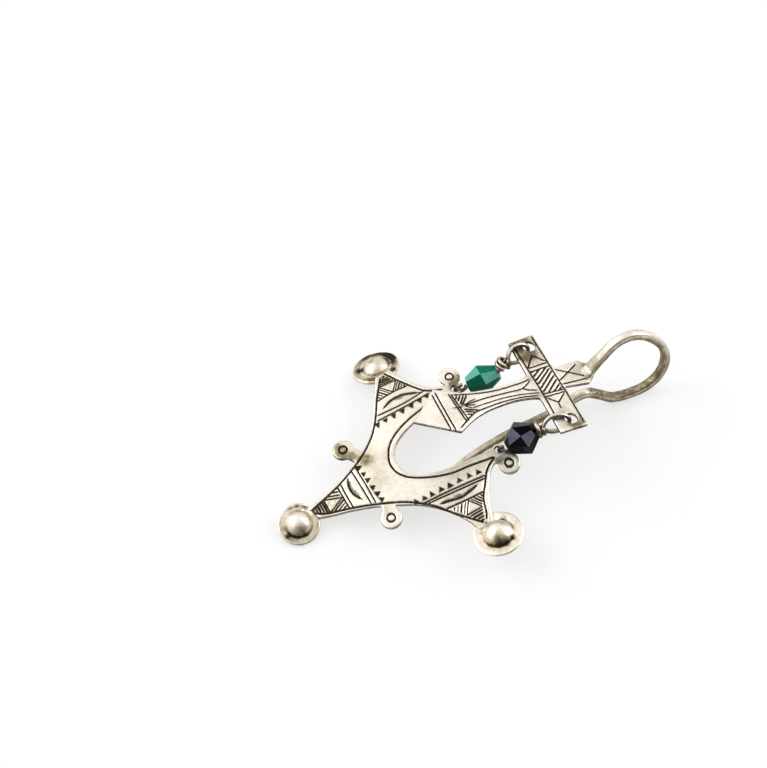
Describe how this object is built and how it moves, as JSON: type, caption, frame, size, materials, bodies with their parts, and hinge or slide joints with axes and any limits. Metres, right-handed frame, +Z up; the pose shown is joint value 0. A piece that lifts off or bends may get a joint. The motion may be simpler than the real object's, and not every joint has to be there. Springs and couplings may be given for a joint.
{
  "type": "earring",
  "caption": "Engraved silver hook earring with a three-armed star pendant, domed bosses, crescent cut-out and faceted green and dark glass beads, lying on a surface",
  "frame": {"origin": "middle of the outline in plan, on the surface that the earring lies on", "axes": "+X from the pendant to the bend of the ear wire, +Y across, +Z up from the surface"},
  "size_m": [0.0724, 0.0468, 0.0166],
  "materials": {
    "silver": "satin",
    "bead_wire": "satin",
    "green_glass": "polished",
    "dark_glass": "polished"
  },
  "bodies": {
    "root": {"ear_hook": "silver", "pendant_plate": "silver", "green_bead": "green_glass", "dark_bead": "dark_glass", "green_bead_wire": "bead_wire", "dark_bead_wire": "bead_wire"}
  },
  "joints": []
}
